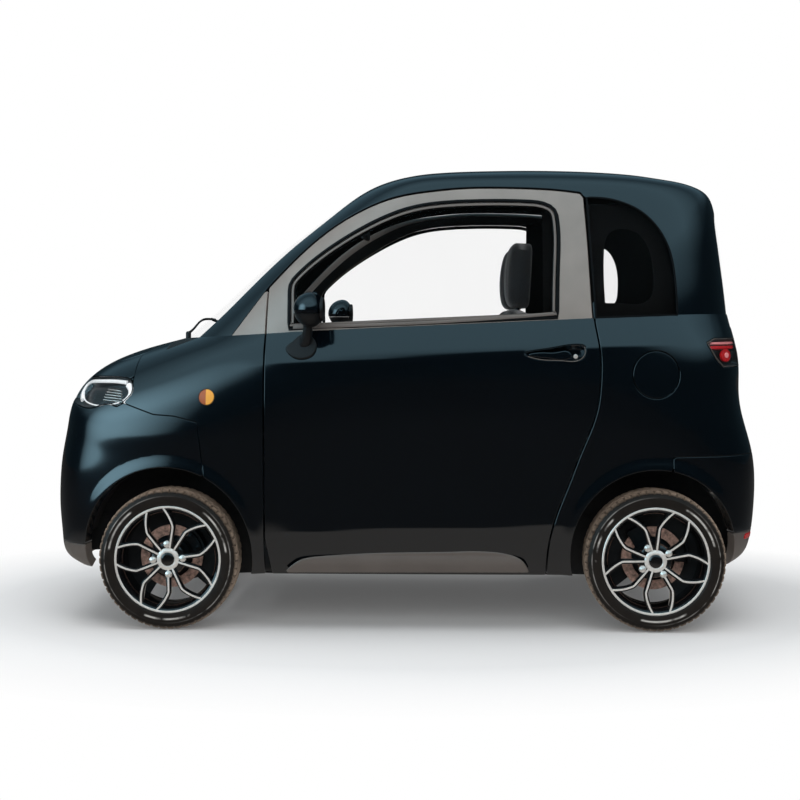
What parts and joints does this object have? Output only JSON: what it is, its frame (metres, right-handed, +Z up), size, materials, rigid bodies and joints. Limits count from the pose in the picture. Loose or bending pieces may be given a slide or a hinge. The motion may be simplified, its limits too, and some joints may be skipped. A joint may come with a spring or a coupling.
{
  "type": "electric microcar",
  "caption": "Closed two-seat microcar with tall rounded cabin, opening doors, hood, tailgate and charging flap, steered front wheels and rolling rear wheels.",
  "frame": {"origin": "on the ground, under the middle of the car's overall box", "axes": "+X forward, +Y to the car's left, +Z up"},
  "size_m": [2.507, 1.7114, 1.607],
  "materials": {
    "body_paint": "dark navy clear coat, glossy",
    "frame_satin": "brownish silver, satin",
    "trim_grey": "textured grey",
    "window_glass": "lightly tinted, polished",
    "lamp_clear": "clear lens over bright fittings",
    "lamp_red": "red lens",
    "lamp_amber": "amber lens",
    "tyre_black": "black rubber",
    "rim_black": "black with machined bright edges",
    "chassis_black": "satin black",
    "steel_dark": "bare, dark",
    "carpet": "short pile, matt",
    "seat_cover": "woven, matt",
    "interior_plastic": "fine grain",
    "liner_plastic": "rough, black"
  },
  "bodies": {
    "body": {"front_fender_left": "body_paint", "front_fender_right": "body_paint", "front_bumper": "body_paint", "cowl_and_wipers": "trim_grey", "head_lamps": "lamp_clear", "rear_quarter_left": "body_paint", "rear_quarter_right": "body_paint", "rear_bumper": "body_paint", "tail_lamps": "lamp_red", "sail_panels": "frame_satin", "roof_and_pillars": "body_paint", "roof_panel": "body_paint", "fixed_glass": "window_glass", "front_suspension": "chassis_black", "chassis_frame": "chassis_black", "battery_pack": "chassis_black", "rear_axle": "steel_dark", "floor_pan": "carpet", "wheel_arch_liners": "liner_plastic", "seats": "seat_cover", "dashboard": "interior_plastic", "side_markers": "lamp_amber"},
    "hood": {"hood": "body_paint"},
    "door_left": {"door_left": "body_paint", "door_frame_left": "frame_satin", "door_glass_left": "window_glass", "mirror_left": "body_paint", "door_handle_left": "body_paint"},
    "door_right": {"door_right": "body_paint", "door_frame_right": "frame_satin", "door_glass_right": "window_glass", "mirror_right": "body_paint", "door_handle_right": "body_paint"},
    "tailgate": {"tailgate": "body_paint", "rear_glass": "window_glass"},
    "charge_flap": {"charge_flap": "body_paint"},
    "knuckle_left": {"knuckle_left": "steel_dark"},
    "knuckle_right": {"knuckle_right": "steel_dark"},
    "wheel_front_left": {"tyre_front_left": "tyre_black", "rim_front_left": "rim_black"},
    "wheel_front_right": {"tyre_front_right": "tyre_black", "rim_front_right": "rim_black"},
    "wheel_rear_left": {"tyre_rear_left": "tyre_black", "rim_rear_left": "rim_black"},
    "wheel_rear_right": {"tyre_rear_right": "tyre_black", "rim_rear_right": "rim_black"},
    "steering_wheel": {"steering_wheel": "interior_plastic"}
  },
  "joints": [
    {"name": "door_left_hinge", "type": "hinge", "parent": "body", "child": "door_left", "pos_m": [0.4685, 0.7281, 0.75], "axis": [0, 0, -1], "range_deg": [0, 65]},
    {"name": "door_right_hinge", "type": "hinge", "parent": "body", "child": "door_right", "pos_m": [0.4685, -0.7281, 0.75], "axis": [0, 0, 1], "range_deg": [0, 65]},
    {"name": "hood_hinge", "type": "hinge", "parent": "body", "child": "hood", "pos_m": [0.8375, 0, 0.9865], "axis": [0, -1, 0], "range_deg": [0, 55]},
    {"name": "tailgate_hinge", "type": "hinge", "parent": "body", "child": "tailgate", "pos_m": [-1.1323, 0, 1.4425], "axis": [0, 1, 0], "range_deg": [0, 80]},
    {"name": "charge_flap_hinge", "type": "hinge", "parent": "body", "child": "charge_flap", "pos_m": [-0.7775, 0.7218, 0.874], "axis": [0, 0, -1], "range_deg": [0, 100]},
    {"name": "steer_left", "type": "hinge", "parent": "body", "child": "knuckle_left", "pos_m": [0.802, 0.56, 0.241], "axis": [0, 0, 1], "range_deg": [-30, 30]},
    {"name": "steer_right", "type": "hinge", "parent": "body", "child": "knuckle_right", "pos_m": [0.802, -0.56, 0.241], "axis": [0, 0, 1], "range_deg": [-30, 30]},
    {"name": "wheel_front_left_spin", "type": "hinge", "parent": "knuckle_left", "child": "wheel_front_left", "pos_m": [0.802, 0.616, 0.241], "axis": [0, 1, 0], "continuous": true},
    {"name": "wheel_front_right_spin", "type": "hinge", "parent": "knuckle_right", "child": "wheel_front_right", "pos_m": [0.802, -0.616, 0.241], "axis": [0, 1, 0], "continuous": true},
    {"name": "wheel_rear_left_spin", "type": "hinge", "parent": "body", "child": "wheel_rear_left", "pos_m": [-0.86, 0.616, 0.241], "axis": [0, 1, 0], "continuous": true},
    {"name": "wheel_rear_right_spin", "type": "hinge", "parent": "body", "child": "wheel_rear_right", "pos_m": [-0.86, -0.616, 0.241], "axis": [0, 1, 0], "continuous": true},
    {"name": "steering_wheel_turn", "type": "hinge", "parent": "body", "child": "steering_wheel", "pos_m": [0.23, 0.255, 0.85], "axis": [0.9063, 0, -0.4226], "range_deg": [-420, 420]}
  ],
  "couplings": [
    {"joint": "steer_right", "follows": "steer_left", "ratio": 1},
    {"joint": "steering_wheel_turn", "follows": "steer_left", "ratio": -14}
  ]
}
